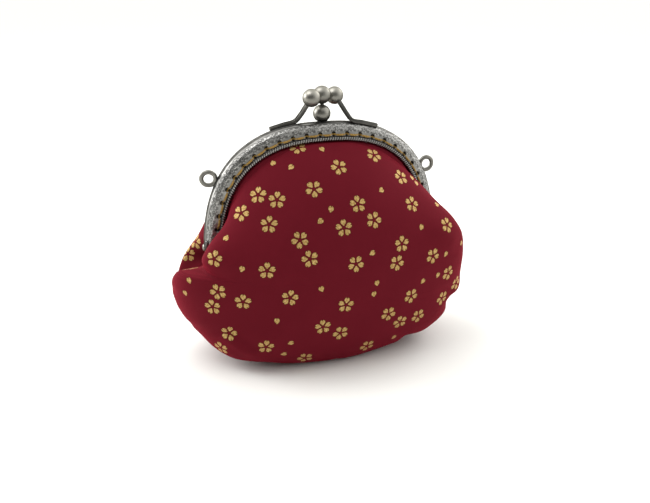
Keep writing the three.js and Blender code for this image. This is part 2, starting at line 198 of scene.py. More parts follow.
# Side loops on the back half: x, y, lean to the back and turn about the stem, both in degrees.
LOOP_RING = 3.02
LOOP_WIRE = 0.95
LOOP_BITE = 0.7
LOOP_STEPS = 72
LOOP_SIDES = 20
LOOPS = {"left_loop": (-48.3, 1.4, 5.0, 11.0), "right_loop": (48.9, 2.2, 2.0, 0.0)}
SOLDER_PAD = (2.3, 0.7, 1.1)

# The panels' form by clock rows about the middle, in degrees from the top. Edge is the radius of
# the seam, left and right the widest radius of the front panel, back that of the back panel, lip
# the depth of that ring, and square how boxy the section is from there to the belly.
PANEL_COLUMNS = ("angle", "edge_left", "edge_right", "left", "right", "back_left", "back_right",
                 "lip", "square")
PANEL_TABLE = np.array([
    (0, 49.0, 49.0, 54.3, 54.3, 54.3, 54.3, 6.0, 1.5),
    (25, 49.0, 49.0, 55.0, 55.0, 55.0, 55.0, 6.0, 1.5),
    (42, 49.0, 49.0, 54.3, 54.6, 54.3, 54.3, 6.5, 1.55),
    (54, 49.0, 49.0, 53.0, 55.4, 52.0, 52.0, 8.5, 1.7),
    (64, 49.0, 49.0, 53.4, 57.3, 52.8, 52.4, 12.0, 1.85),
    (73, 49.0, 49.0, 57.4, 61.2, 54.2, 54.2, 15.0, 2.0),
    (80, 49.5, 49.5, 59.0, 64.2, 55.8, 56.8, 15.0, 2.05),
    (84.5, 49.8, 51.3, 57.5, 65.4, 57.8, 59.2, 13.6, 2.1),
    (86.8, 50.1, 52.9, 57.9, 65.9, 59.2, 60.6, 12.6, 2.1),
    (87.5, 50.2, 53.5, 66.2, 66.1, 59.7, 61.1, 12.3, 2.1),
    (89.5, 51.2, 55.8, 68.6, 66.6, 60.9, 62.7, 11.4, 2.15),
    (93, 54.0, 60.0, 69.9, 67.6, 63.2, 65.8, 9.5, 2.2),
    (100, 66.0, 66.8, 70.4, 69.4, 66.8, 69.0, 6.0, 2.3),
    (108, 68.4, 69.2, 70.0, 71.4, 67.6, 69.6, 5.0, 2.45),
    (115, 67.2, 69.0, 68.2, 70.4, 67.0, 68.4, 4.0, 2.6),
    (122, 65.8, 67.0, 66.2, 68.2, 65.4, 66.4, 3.5, 2.75),
    (130, 62.6, 63.2, 62.6, 64.0, 62.4, 63.0, 3.0, 2.9),
    (145, 54.2, 54.0, 54.2, 54.2, 54.2, 54.0, 3.0, 3.2),
    (162, 48.9, 48.9, 48.9, 48.9, 48.9, 48.9, 3.0, 3.4),
    (180, 46.5, 46.5, 46.5, 46.5, 46.5, 46.5, 3.0, 3.4),
])
PANEL = dict(zip(PANEL_COLUMNS, PANEL_TABLE.T))
MIDDLE_HEIGHT = 45.0
BELLY_DEPTH = 33.0
DOME_OVAL = (62.0, 49.0)
DOME_LIP = 8.0
DOME_SQUARE = 2.1
CLOTH_THICKNESS = 1.0
SEAM_GAP = 0.15
SEWN_TO = (69.0, 78.0)
TONGUE_INSET = 4.8
MOUTH_INSET = 7.7
TURN_INSET = 8.2
TONGUE_DEPTH = 3.4
TURN_DEPTH = 5.0
SEAM_ALLOWANCE = 3.0
ALLOWANCE_DEPTH = 0.45
SEAM_TURN = 1.2
SEAM_GROOVE = (0.8, 1.4)
TONGUE_ROWS = 4
FLARE_ROWS = 26
BELLY_ROWS = 66
PANEL_TURNS = 440
RIM_STEPS = 2000

# The left lobe, in degrees of the clock: where its top is, how much closer the columns stand there,
# and how far its top falls on the way back to the seam. Broad is the ring's form without sharp turns.
LOBE_TOP = -87.2
LOBE_CROWD = 3.0
LOBE_CROWD_SPREAD = 4.0
LOBE_FALL = 9.0
LOBE_FALL_AT = -91.2
LOBE_FALL_SPREAD = 8.0
CLOCK_STEP = 0.1
BROAD_SPREAD = 6.0
BROAD_STEPS = 120
SHARP_FADE = 4

# On the left the seam lies behind the parting plane: how far, and the clock angles at which it
# leaves the plane, is full, starts to come back and is back.
SEAM_SET = 13.0
SEAM_SET_ANGLES = (76.0, 92.0, 112.0, 130.0)

# Puckers along the seam: (clock angle, spread in degrees, pull).
PUCKERS = [(112.7, 3.5, 3.9), (137, 3.8, 2.5), (-114, 5, 0.3)]
BACK_PULL = 0.4

# Gathers along the seam: height and what the right side has more, reach, clock angles where they
# start and are full, and waves as share, count in a full turn, phase and its shift by side.
GATHER_HEIGHT = (0.3, 0.12)
GATHER_REACH = 7.0
GATHER_START = np.radians((84, 104))
GATHER_WAVES = [(1.0, 31, 0.8, 0), (0.7, 47, 2.1, 0), (0.5, 71, 0.3, 1)]

# Unevenness of the cloth: height, depths where it starts and is full, bumps as length and phase along
# x and along z, and a slanting wave as share, length along x, length along z and phase.
UNEVEN_HEIGHT = 0.18
UNEVEN_START = (6, 14)
UNEVEN_BUMPS = ((7.3, 1.1), (6.1, 0.4))
UNEVEN_SLANT = (0.6, 4.1, 5.3, 2.0)

# Soft folds of the front panel: start x, z, end x, z, half width, height.
FOLDS = [
    (-52, 20, -36, 9, 2.6, 0.9),
    (-50, 24, -38, 14, 3.0, -0.7),
    (62, 27, 47, 31, 3.0, -1.0),
    (60, 22, 48, 20, 3.0, 0.7),
    (58, 52, 40, 66, 5.0, 0.8),
]

# The print, charted as pixels of the photograph: x, y and the clock angle of one petal.
BLOSSOMS = [
    (339, 167, -23), (374, 155, -34), (314, 189, 30), (258, 195, -1), (277, 200, 2), (241, 213, 24),
    (269, 224.5, 4), (358, 204, -10), (374, 220, 17), (344, 228, -8), (401, 177, -12), (412, 204, 11),
    (447, 225, 15), (402, 244, -7), (300, 240, -32), (310, 259, -20), (356, 264, 26), (397, 263, 20),
    (433, 256, 20), (214, 259, 15), (267, 271, 2), (218, 292, -19), (212.5, 307, 0), (243, 302, 5),
    (290, 298, 10), (346, 305, 2), (411, 296, 20), (448, 273, 10), (456, 283, 0), (388.5, 314, 22),
    (400, 322, -25), (418, 316, 20), (442, 298, 30), (323, 327, -12), (340.5, 333, -32), (229, 333, 17),
    (266, 347, 5), (305, 358, -30), (367, 346, 30), (298, 148, -30), (221, 348, 10), (190, 268.6, 20),
]
BACK_BLOSSOMS = [(195.5, 241.5, 15), (188, 254, 0)]
LOOSE_PETALS = [
    (322, 149, -25), (273, 163, 150), (291, 167, 40), (381.5, 190, 60), (331, 209, 10), (320.5, 221, 50),
    (226, 238, 200), (242, 269, 20), (321.5, 289, -30), (372.5, 253, 60), (421.5, 227, 20),
    (377, 283, -20), (374, 294, -15), (423, 281, 30), (438, 275, 10), (277, 321, 0), (291, 343, 70),
    (284, 354, 80), (185, 293, 0), (189, 280.5, -10), (412, 177.6, 20), (416.5, 183, 20), (446, 254, 15),
    (394, 337, 30), (437, 204.5, -90), (461.5, 243, -90),
]
MOTIF_CLEARANCE = 9.0
MOTIF_SLACK = 3.0
MOTIF_BEND = 3.0
MOTIF_CORE = 0.2
NEARER_BIAS = 0.02

# Print on the front panel's right side, which the photograph hides: place, upward way and turn.
SIDE_BLOSSOMS = [((69, -5, 46), UP, 25), ((68, -6, 20), UP, -20), ((61, -3, 65), UP, 40)]
SIDE_PETALS = [((70, -8, 34), UP, 30), ((66, -9, 57), UP, -15)]

# One petal, measured from the middle of its blossom: the centre and radius of its round end, the
# slope and width of its wedge, its foot, the slope and root of the notch in its tip, where the middle
# of a loose petal lies, and how ragged the edge is.
PETAL_END = 2.55
PETAL_ROUND = 1.15
PETAL_WEDGE = (-0.55, 0.3)
PETAL_FOOT = 0.95
PETAL_NOTCH = (-2.2, -2.95)
LOOSE_MIDDLE = 2.4
PETAL_RAGGED = 0.16

# How far outside a petal's edge a point lies, worked out step by step: value, operation and terms.
# The angle is folded to the half sector beside one petal's axis. A loose petal has its own middle. A
# petal is a round end on a wedge that points to the middle, less a foot and a notch in its tip.
PETAL_STEPS = [
    ("angle", "ARCTAN2", "motif_y", "motif_x"), ("folded", "PINGPONG", "angle", np.pi / 5),
    ("cosine", "COSINE", "folded"), ("sine", "SINE", "folded"),
    ("petal_x", "MULTIPLY", "radius", "cosine"), ("petal_y", "MULTIPLY", "radius", "sine"),
    ("loose_x", "ADD", "motif_x", LOOSE_MIDDLE), ("loose_y", "ABSOLUTE", "motif_y"),
    ("gap_x", "SUBTRACT", "loose_x", "petal_x"), ("x", "MULTIPLY_ADD", "gap_x", "loose", "petal_x"),
    ("gap_y", "SUBTRACT", "loose_y", "petal_y"), ("y", "MULTIPLY_ADD", "gap_y", "loose", "petal_y"),
    ("end_x", "SUBTRACT", "x", PETAL_END), ("end_square", "MULTIPLY", "end_x", "end_x"),
    ("far_square", "MULTIPLY_ADD", "y", "y", "end_square"), ("end_far", "SQRT", "far_square"),
    ("round_edge", "SUBTRACT", "end_far", PETAL_ROUND),
    ("taper", "MULTIPLY_ADD", "x", *PETAL_WEDGE), ("wedge_side", "ADD", "y", "taper"),
    ("wedge_edge", "MAXIMUM", "wedge_side", "end_x"), ("whole", "MINIMUM", "round_edge", "wedge_edge"),
    ("foot", "SUBTRACT", PETAL_FOOT, "x"), ("petal", "MAXIMUM", "whole", "foot"),
    ("notch_run", "MULTIPLY_ADD", "y", *PETAL_NOTCH), ("notch", "ADD", "x", "notch_run"),
    ("notch_edge", "MULTIPLY", "notch", 0.5), ("clean_edge", "MAXIMUM", "petal", "notch_edge"),
    ("shift", "MULTIPLY_ADD", "ragged", PETAL_RAGGED, -PETAL_RAGGED / 2),
    ("edge", "ADD", "clean_edge", "shift"),
]

# The weave's threads lie about 0.3 mm apart: too fine to show, so they are drawn further apart.
WEAVE_PITCH = 0.45

# The light: a white tent with an opening that faces the camera's side. Side, top and opening are
# strengths, and heading is the way the opening faces. Walls are the cosines from that way between
# which the walls dim to the opening, and crown the heights between which they turn into the top.
TENT_SIDE = 1.95
TENT_TOP = 1.22
TENT_OPENING = 0.1
TENT_HEADING = CAMERA_AZIMUTH + np.radians(16)
TENT_WALLS = (-0.1, 0.75)
TENT_CROWN = (0.55, 0.95)

# Softboxes by name: place in metres, width in metres and power in watts. All aim at one point.
SOFTBOXES = {
    "soft_key": ((-0.4, 0.05, 0.85), 0.6, 3.5),
    "soft_left": ((-0.75, 0.42, 0.35), 0.5, 5.2),
    "soft_right": ((0.75, 0.35, 0.45), 0.5, 2.6),
}
SOFTBOX_AIM = (0.0, 0.0, 0.05)
FLOOR_HALF = 6.0


def linear(hex_colour):
    """An sRGB hex colour as linear red, green, blue and full alpha."""
    srgb = np.array([int(hex_colour[i:i + 2], 16) for i in (1, 3, 5)]) / 255
    rgb = np.where(srgb <= 0.04045, srgb / 12.92, ((srgb + 0.055) / 1.055) ** 2.4)
    return (*rgb.tolist(), 1.0)


def add(tree, kind, sockets=None, out=0, **settings):
    """Add a node with its properties, its sockets filled by value or by a link, and give an output."""
    made = tree.nodes.new(kind)
    for name, value in settings.items():
        setattr(made, name, value)
    for socket, value in (sockets or {}).items():
        if isinstance(value, bpy.types.NodeSocket):
            tree.links.new(value, made.inputs[socket])
        else:
            made.inputs[socket].default_value = value
    return made.outputs[out] if len(made.outputs) else None


def new_material(name):
    """An empty material and its node tree."""
    material = bpy.data.materials.new(name)
    material.use_nodes = True
    material.node_tree.nodes.clear()
    return material, material.node_tree


def placed(name, data):
    """A new object in the scene."""
    made = bpy.data.objects.new(name, data)
    bpy.context.scene.collection.objects.link(made)
    return made


def smooth(low, high, value):
    """Ease from 0 at low to 1 at high, with level ends."""
    u = np.clip((value - low) / (high - low), 0, 1)
    return u * u * (3 - 2 * u)


def bell(offset, spread):
    """Bell curve: 1 in the middle and 1/e at the spread."""
    return np.exp(-((offset / spread) ** 2))


def mixed(first, second, share):
    """Two values mixed, with the given share of the second."""
    return first * (1 - share) + second * share


def cubic(values, slopes, k, u, span=1):
    """Curve in gap k at share u of it: the cubic that has the given values and slopes at both ends."""
    return ((2 * u ** 3 - 3 * u ** 2 + 1) * values[k] + (u ** 3 - 2 * u ** 2 + u) * span * slopes[k]
            + (3 * u ** 2 - 2 * u ** 3) * values[k + 1] + (u ** 3 - u ** 2) * span * slopes[k + 1])


def unit(vectors):
    """Vectors scaled to length one."""
    return vectors / np.maximum(np.linalg.norm(vectors, axis=-1, keepdims=True), 1e-12)


def rounded(line, passes=3):
    """Cut the corners of an open line: each pass puts points a quarter in from a stretch's ends."""
    line = np.array(line, float)
    for _ in range(passes):
        near = 0.75 * line[:-1] + 0.25 * line[1:]
        far = 0.25 * line[:-1] + 0.75 * line[1:]
        cut = np.stack([near, far], 1).reshape(-1, line.shape[1])
        line = np.concatenate([line[:1], cut, line[-1:]])
    return line


def lengths_along(line):
    """Distance of each point from the start of a line."""
    steps = np.linalg.norm(np.diff(line, axis=0), axis=1)
    return np.concatenate([[0], np.cumsum(steps)])


def evenly(line, count):
    """Points spread evenly by length along a line."""
    run = lengths_along(line)
    places = np.linspace(0, run[-1], count)
    return np.stack([np.interp(places, run, line[:, k]) for k in range(line.shape[1])], 1)


def circle(count):
    """Angles spread evenly over a full turn."""
    return np.linspace(0, FULL_TURN, count, endpoint=False)


def quads(rows, columns):
    """Faces of a grid of closed rings that is stored ring by ring."""
    r, c = np.meshgrid(np.arange(rows - 1) * columns, np.arange(columns), indexing="ij")
    along = (c + 1) % columns
    return np.stack([r + c, r + along, r + columns + along, r + columns + c], -1).reshape(-1, 4)


def capped(rings):
    """A tube of rings as points and faces, with a flat face on both ends."""
    rows, columns = rings.shape[:2]
    last = (rows - 1) * columns + np.arange(columns)
    return rings.reshape(-1, 3), [quads(rows, columns), np.arange(columns)[None, ::-1], last[None]]


def joined(shapes):
    """Several shapes as one list of points and one list of face blocks."""
    points, blocks, first = [], [], 0
    for shape_points, shape_blocks in shapes:
        points.append(shape_points)
        blocks += [block + first for block in shape_blocks]
        first += len(shape_points)
    return np.concatenate(points), blocks


def turned_half(points):
    """The same points turned half round about the upright axis."""
    return points * np.array([-1, -1, 1])


def add_piece(name, points, blocks, material, slot, closed=True):
    """A smooth mesh object from points in millimetres that rides on the purse."""
    mesh = bpy.data.meshes.new(name)
    mesh.from_pydata((points * MM).tolist(), [], [face for block in blocks for face in block.tolist()])
    if closed:
        shell = bmesh.new()
        shell.from_mesh(mesh)
        bmesh.ops.recalc_face_normals(shell, faces=shell.faces)
        shell.to_mesh(mesh)
        shell.free()
    mesh.polygons.foreach_set("use_smooth", np.ones(len(mesh.polygons), bool))
    mesh.materials.append(material)
    piece = placed(name, mesh)
    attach(piece, "root")
    return piece


def arch_edge(angle):
    """Outer edge of the arch at angles from the top: points x, z of a superellipse, and its normal."""
    power = 2 / ARCH_ROUNDNESS
    across = np.abs(np.sin(angle)) ** power
    rise = np.clip(np.cos(angle), 0, None) ** power
    slope = np.stack([across ** (ARCH_ROUNDNESS - 1) / ARCH_HALF_WIDTH * np.sign(angle),
                      rise ** (ARCH_ROUNDNESS - 1) / ARCH_RISE], -1)
    edge = np.stack([np.sign(angle) * ARCH_HALF_WIDTH * across, ARCH_SPRINGING + ARCH_RISE * rise], -1)
    return edge, unit(slope)


def arch_stations(count):
    """Even steps along the line of holes: length from the middle, edge point and normal."""
    end = np.arccos(((LEG_END - ARCH_SPRINGING) / ARCH_RISE) ** (ARCH_ROUNDNESS / 2))
    angle = np.linspace(-end, end, EDGE_STEPS)
    edge, normal = arch_edge(angle)
    run = lengths_along(edge - HOLE_INSET * normal)
    run = run - run[-1] / 2
    places = np.linspace(run[0], run[-1], count)
    return places, *arch_edge(np.interp(places, run, angle))


def pressed_relief(along, inset, run):
    """Height of the pressed ornament and how far it is worn bright, from 0 to 1.

    A stem swings about the middle of the ornament as a sine of the length. In each of its bends lies
    a spiral, whose ridge follows radius minus turn, with leaf lobes round it: a cosine of the turn.
    A fine grain fills the ground, and a groove borders the plain outer lip. The holes lie in a plain
    band, and cosine ribs cross the rope bead aslant.
    """
    across = run - ORNAMENT_MIDDLE
    stem = bell(across - STEM_SWING * np.sin(FULL_TURN * along / STEM_PERIOD), STEM_HALF)
    bend = np.round(2 * along / STEM_PERIOD - 0.5)
    x = along - (bend + 0.5) * STEM_PERIOD / 2
    y = across * np.where(bend % 2 == 0, 1, -1) + SPIRAL_SHIFT
    radius, turn = np.hypot(x, y), np.arctan2(y, x)
    spiral = 0.5 + 0.5 * np.cos(FULL_TURN * radius / SPIRAL_PITCH - turn)
    spiral = spiral * (1 - smooth(*SPIRAL_END, radius))
    leaves = 0.5 + 0.5 * np.cos(LEAF_COUNT * turn + LEAF_PHASE)
    leaves = leaves * smooth(*LEAF_START, radius) * (1 - smooth(*LEAF_END, radius))
    figure = np.maximum(np.maximum(stem, SPIRAL_SHARE * spiral), LEAF_SHARE * leaves)
    wander = sum(swing * np.sin(FULL_TURN * way / wave)
                 for way, (swing, wave) in zip((along, run), GRAIN_WANDER))
    grain = np.sin(FULL_TURN * (along / GRAIN_PITCH[0] + wander))
    grain = grain * np.sin(FULL_TURN * (run / GRAIN_PITCH[1] - wander))
    field = smooth(*ORNAMENT_START, run) * (1 - smooth(*ORNAMENT_END, run))
    groove = LIP_GROOVE_SHARE * bell(run - ORNAMENT_START[0], LIP_GROOVE_HALF)
    groove = groove + bell(inset - BEAD_GROOVE_INSET, BEAD_GROOVE_HALF)
    bead = smooth(*BEAD_EDGE, np.abs(inset - BEAD_INSET))
    ribs = np.cos(FULL_TURN * (along + RIB_SLANT * inset) / RIB_PITCH)
    height = field * (RELIEF_HEIGHT * (figure - GROUND_LEVEL) + GRAIN_HEIGHT * grain)
    height = height - GROOVE_DEPTH * groove + RIB_HEIGHT * bead * ribs
    worn = FACE_WORN + field * (FIGURE_WORN * figure + GRAIN_WORN * grain - GROUND_BLACK)
    worn = worn - GROOVE_BLACK * groove + bead * (RIB_WORN * ribs - BEAD_BLACK)
    hole_x = along - (np.floor(along / HOLE_PITCH) + 0.5) * HOLE_PITCH
    opened = 1 - smooth(*HOLE_EDGE, np.hypot(hole_x, inset - HOLE_INSET))
    opened = opened * (np.abs(along) < HOLE_PITCH * HOLE_COUNT / 2)
    return height * (1 - opened) - HOLE_DEPTH * opened, np.clip(worn, 0, 1) * (1 - opened)


def channel_half():
    """Front half of the frame: the section carried along the arch, with relief along its normal.

    Near the legs' ends the section narrows, because the leg's inner side slopes out.
    Returns the shape and how bright each point is worn.
    """
    along, edge, normal = arch_stations(STATIONS)
    face = evenly(rounded(FACE_LINE), FACE_POINTS)
    slot = evenly(rounded(SLOT_LINE, 2), SLOT_POINTS)[1:-1]
    section = np.concatenate([face, slot])
    tangent = unit(np.gradient(face, axis=0))
    face_normal = np.zeros_like(section)
    face_normal[:FACE_POINTS] = np.stack([tangent[:, 1], -tangent[:, 0]], 1)
    run = np.concatenate([lengths_along(face), np.zeros(len(slot))])
    height, worn = pressed_relief(along[:, None], section[None, :, 1], run[None])
    height = np.where(run > PLAIN_RUN, height, 0)
    plain = np.where(np.arange(len(section)) < FACE_POINTS, LIP_WORN, SLOT_WORN)
    worn = np.where(run > PLAIN_RUN, worn, plain)
    depth = section[None, :, 0] + height * face_normal[None, :, 0]
    inset = section[None, :, 1] + height * face_normal[None, :, 1]
    slope = (LEG_TAPER_FOOT[0] - LEG_TAPER_TOP[0]) / (LEG_TAPER_TOP[1] - LEG_TAPER_FOOT[1])
    inner_x = LEG_TAPER_TOP[0] + slope * (LEG_TAPER_TOP[1] - edge[:, 1])
    room = (np.abs(edge[:, 0]) - inner_x) / np.maximum(np.abs(normal[:, 0]), LEG_LEAST_LEAN)
    squeeze = np.clip(room / CHANNEL_WIDTH, LEG_LEAST_SHARE, 1)
    squeeze = np.where(edge[:, 1] < LEG_TAPER_TOP[1] + LEG_TAPER_EASE, squeeze, 1)
    inset = inset * squeeze[:, None]
    flat = edge[:, None, :] - inset[:, :, None] * normal[:, None, :]
    rings = np.stack([flat[..., 0], -depth, flat[..., 1]], -1)
    return capped(rings), worn.ravel()


def ear(side, outer_face):
    """Hinge ear: a disc with a strip up into the leg, its outline carried through its thickness."""
    turn = np.linspace(np.pi, 2.5 * np.pi, EAR_STEPS)
    disc = np.stack([EAR_RADIUS * np.cos(turn), HINGE_Z + EAR_RADIUS * np.sin(turn)], 1)
    outline = np.concatenate([[(-EAR_FRONT, EAR_TOP), (-EAR_FRONT, LEG_END)], disc,
                              [(-EAR_BACK, HINGE_Z + EAR_RADIUS), (-EAR_BACK, EAR_TOP)]])
    faces = side * np.array([outer_face - EAR_THICKNESS, outer_face])
    rings = np.stack([np.column_stack([np.full(len(outline), x), outline]) for x in faces])
    return capped(rings)


def lathe(profile, centre, axis, sides):
    """Turn a profile of (radius, place along the axis) about an axis through a centre."""
    axis, off_axis = np.array(axis, float), np.array([0.31, 0.83, 0.46])
    first = unit(np.cross(axis, off_axis))
    turn = circle(sides)[:, None]
    around = np.cos(turn) * first + np.sin(turn) * np.cross(axis, first)
    radius, place = np.array(profile, float).T[:, :, None, None]
    return capped(np.array(centre) + radius * around + place * axis)


def ellipsoid(centre, axes):
    """Rounded body: a half circle turned about the last of three axes, with tiny flats at its poles."""
    turn = np.linspace(POLE_FLAT, np.pi - POLE_FLAT, BALL_ROWS)[:, None, None]
    round_about = circle(BALL_SIDES)[:, None]
    first, second, third = np.array(axes, float)
    level = np.cos(round_about) * first + np.sin(round_about) * second
    return capped(np.array(centre) + np.sin(turn) * level + np.cos(turn) * third)


def ball(centre):
    """Clasp ball: an ellipsoid with equal axes."""
    return ellipsoid(centre, BALL_RADIUS * np.eye(3))


def rivet(side):
    """Hinge rivet: flat inner head, shank through both ears, and a domed outer head."""
    inner = EAR_INNER_FACE - EAR_THICKNESS - SEAT_GAP - RIVET_HEAD_DEPTH
    outer = EAR_OUTER_FACE + SEAT_GAP
    turn = np.linspace(0, np.pi / 2 - DOME_FLAT, DOME_STEPS)
    dome = np.column_stack([RIVET_HEAD * np.cos(turn), outer + RIVET_HEAD_DEPTH * np.sin(turn)])
    profile = [(RIVET_TIP, inner), (RIVET_HEAD, inner), (RIVET_HEAD, inner + RIVET_HEAD_DEPTH),
               (RIVET_SHANK, inner + RIVET_HEAD_DEPTH), (RIVET_SHANK, outer)]
    return lathe(np.concatenate([profile, dome]), (0, 0, HINGE_Z), (side, 0, 0), RIVET_SIDES)


def spline(stations, count):
    """Smooth line through stations: a cubic in each gap, with slopes taken across the neighbours."""
    knots = np.array(stations, float)
    padded = np.concatenate([[2 * knots[0] - knots[1]], knots, [2 * knots[-1] - knots[-2]]])
    slopes = (padded[2:] - padded[:-2]) / 2
    u = np.linspace(0, len(knots) - 1, 40 * len(knots))
    k = np.minimum(u.astype(int), len(knots) - 2)
    return evenly(cubic(knots, slopes, k, (u - k)[:, None]), count)


def swept(path, section):
    """Carry a closed section along a path, its first axis turned as far to the back as the path lets
    it. The section is one outline, or an outline for each point of the path."""
    tangent = unit(np.gradient(path, axis=0))
    side = unit(BACK - (tangent @ BACK)[:, None] * tangent)
    upward = np.cross(tangent, side)
    return capped(path[:, None] + section[..., :1] * side[:, None] + section[..., 1:] * upward[:, None])


def rounded_bar(width, thickness, corner, steps=5):
    """Outline of a bar with round corners, as four quarter circles."""
    turn = np.linspace(0, np.pi / 2, steps) + np.arange(4)[:, None] * np.pi / 2
    across = np.array([1, -1, -1, 1])[:, None] * (width / 2 - corner) + corner * np.cos(turn)
    upward = np.array([1, 1, -1, -1])[:, None] * (thickness / 2 - corner) + corner * np.sin(turn)
    return np.stack([across, upward], -1).reshape(-1, 2)


def clasp_arm(stations):
    """Strip bent along its stations, with a ball on its end."""
    strip = swept(spline(stations, ARM_STEPS), rounded_bar(ARM_WIDTH, ARM_THICKNESS, ARM_CORNER))
    return joined([strip, ball(stations[-1])])


def clasp_post():
    """Two balls, one over the other, on a thin post."""
    post = lathe(POST_PROFILE, (0, POST_Y, 0), UP, POST_SIDES)
    return joined([post, ball((0, POST_Y, LOWER_BALL_Z)), ball((0, POST_Y, UPPER_BALL_Z))])


def side_loop(x, y, lean_degrees, turn_degrees):
    """Round wire ring on a pad of solder at the frame's edge: a circle carried round a circle.

    Lean tips the way out from the edge to the back, and turn twists the ring about that way.
    Returns the shape and how bright each point is worn.
    """
    ratio = abs(x) / ARCH_HALF_WIDTH
    edge, normal = arch_edge(np.sign(x) * np.arcsin(ratio ** (ARCH_ROUNDNESS / 2)))
    foot = np.array([x, y, edge[1]])
    out = np.array([normal[0], 0, normal[1]])
    edge_way = np.array([-out[2], 0, out[0]])
    lean, turn = np.radians([lean_degrees, turn_degrees])
    stem = np.cos(lean) * out + np.sin(lean) * BACK
    side = np.cos(turn) * edge_way + np.sin(turn) * (np.cos(lean) * BACK - np.sin(lean) * out)
    axis = np.cross(stem, side)
    centre = foot + stem * (LOOP_RING + LOOP_WIRE - LOOP_BITE)
    around = circle(LOOP_STEPS)[:, None]
    outward = np.cos(around) * stem + np.sin(around) * side
    wire = circle(LOOP_SIDES)[:, None]
    rings = (centre + outward[:, None, :] * (LOOP_RING + LOOP_WIRE * np.cos(wire))
             + LOOP_WIRE * np.sin(wire) * axis)
    rows, columns = rings.shape[:2]
    faces = quads(rows + 1, columns) % (rows * columns)
    pad = ellipsoid(foot, [SOLDER_PAD[0] * edge_way, SOLDER_PAD[1] * out, SOLDER_PAD[2] * BACK])
    worn = np.repeat([LOOP_WORN, SOLDER_WORN], [rows * columns, len(pad[0])])
    return joined([(rings.reshape(-1, 3), [faces]), pad]), worn


def sewing_thread():
    """Stitches from hole to hole: each comes up out of one hole, lies on the face beside the line of
    holes, and goes down the next. The section is two plies twisted together."""
    along, edge, normal = arch_stations(STATIONS)
    share = np.linspace(0, 1, STITCH_STEPS)
    lift = np.sin(np.pi * share) ** 0.5
    inset = mixed(THREAD_HOLE_INSET, THREAD_INSET, lift)
    depth = mixed(THREAD_SUNK, THREAD_DEPTH, lift)
    psi = circle(STITCH_SIDES)
    stitches = []
    for k in range(HOLE_COUNT - 1):
        s = (k - (HOLE_COUNT - 1) / 2 + share) * HOLE_PITCH
        middle = np.stack([np.interp(s, along, edge[:, c]) for c in (0, 1)], 1)
        inward = -unit(np.stack([np.interp(s, along, normal[:, c]) for c in (0, 1)], 1))
        flat = middle + inset[:, None] * inward
        twist = FULL_TURN * s[:, None] / PLY_PITCH
        plies = THREAD_RADIUS * (1 + PLY_SWELL * np.cos(2 * psi[None, :] - twist))
        outline = np.stack([plies * np.cos(psi), plies * np.sin(psi)], -1)
        stitches.append(swept(np.stack([flat[:, 0], -depth, flat[:, 1]], 1), outline))
    return joined(stitches)


def panel_value(column, angle):
    """A column of the panel table at clock angles: a cubic in each gap, slopes across the neighbours."""
    rows, values = PANEL["angle"], PANEL[column]
    lower = np.maximum(np.arange(len(rows)) - 1, 0)
    upper = np.minimum(np.arange(len(rows)) + 1, len(rows) - 1)
    slopes = (values[upper] - values[lower]) / (rows[upper] - rows[lower])
    at = np.abs(angle)
    k = np.clip(np.searchsorted(rows, at, side="right") - 1, 0, len(rows) - 2)
    span = rows[k + 1] - rows[k]
    return cubic(values, slopes, k, (at - rows[k]) / span, span)


def rim_radius(angle, inset):
    """Radius about the panel's middle at which clock angles meet the arch set in by an inset."""
    edge, normal = arch_edge(np.linspace(0, np.pi / 2, RIM_STEPS))
    line = edge - inset * normal
    clock = np.degrees(np.arctan2(line[:, 0], line[:, 1] - MIDDLE_HEIGHT))
    return np.interp(np.abs(angle), clock, np.hypot(line[:, 0], line[:, 1] - MIDDLE_HEIGHT))


def seam_set(angle):
    """How far the seam lies behind the parting plane: two eased steps of the clock angle."""
    leave, full, hold, back = SEAM_SET_ANGLES
    return SEAM_SET * smooth(leave, full, -angle) * (1 - smooth(hold, back, -angle))


